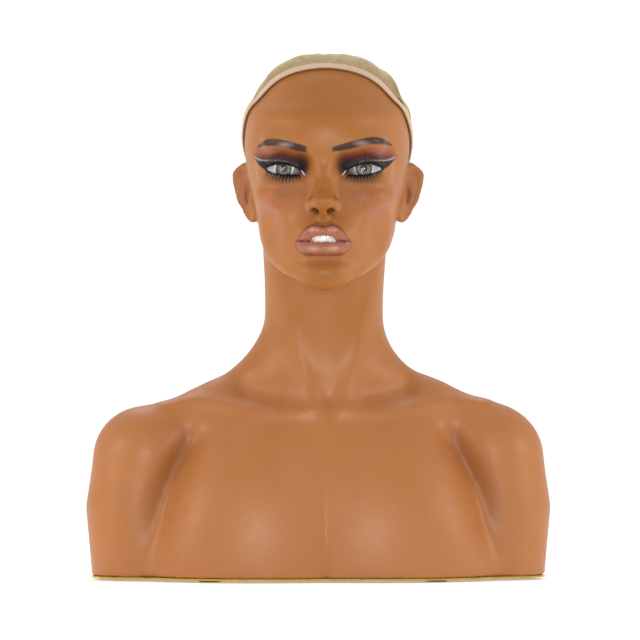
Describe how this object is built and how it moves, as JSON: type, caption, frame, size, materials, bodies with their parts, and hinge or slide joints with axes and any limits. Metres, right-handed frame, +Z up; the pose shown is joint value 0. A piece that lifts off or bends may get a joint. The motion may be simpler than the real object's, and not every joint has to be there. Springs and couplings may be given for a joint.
{
  "type": "mannequin training head",
  "caption": "Hollow plastic head-and-shoulders bust with inset eyes, lashes and teeth, a pull-on net wig cap and a flat screwed base.",
  "frame": {"origin": "centre of the bounding box's footprint, on the floor under the pads", "axes": "+X towards the right arm stump as seen from the front, +Y towards the back, +Z up; the face looks along -Y"},
  "size_m": [0.4262, 0.2136, 0.485],
  "materials": {
    "skin_pvc": "satin sprayed PVC skin, caramel brown with painted make-up",
    "cap_net": "beige knitted nylon net",
    "cap_band": "peach woven elastic",
    "teeth_plastic": "moulded white plastic",
    "edge_trim": "glossy yellow edging",
    "board_wood": "raw fibreboard",
    "block_wood": "sawn softwood",
    "eye_white": "moulded acrylic, off-white",
    "iris": "printed grey-hazel disc with a black pupil",
    "cornea": "clear cast acrylic",
    "lash_fibre": "black synthetic fibre",
    "screw_steel": "zinc-plated steel",
    "pad_rubber": "black rubber"
  },
  "bodies": {
    "bust": {"bust_shell": "skin_pvc", "teeth": "teeth_plastic", "edge_trim": "edge_trim", "base_board": "board_wood", "left_eye_white": "eye_white", "left_iris": "iris", "left_cornea": "cornea", "left_upper_lashes": "lash_fibre", "left_lower_lashes": "lash_fibre", "right_eye_white": "eye_white", "right_iris": "iris", "right_cornea": "cornea", "right_upper_lashes": "lash_fibre", "right_lower_lashes": "lash_fibre", "fixing_block_front_left": "block_wood", "base_screw_front_left": "screw_steel", "pad_front_left": "pad_rubber", "fixing_block_front_right": "block_wood", "base_screw_front_right": "screw_steel", "pad_front_right": "pad_rubber", "fixing_block_rear_left": "block_wood", "base_screw_rear_left": "screw_steel", "pad_rear_left": "pad_rubber", "fixing_block_rear_right": "block_wood", "base_screw_rear_right": "screw_steel", "pad_rear_right": "pad_rubber"},
    "wig_cap": {"cap_net": "cap_net", "cap_band": "cap_band"}
  },
  "joints": [
    {"name": "cap_pull", "type": "slide", "parent": "bust", "child": "wig_cap", "axis": [0.0783, 0.7449, 0.6626], "range_m": [0, 0.2]}
  ]
}
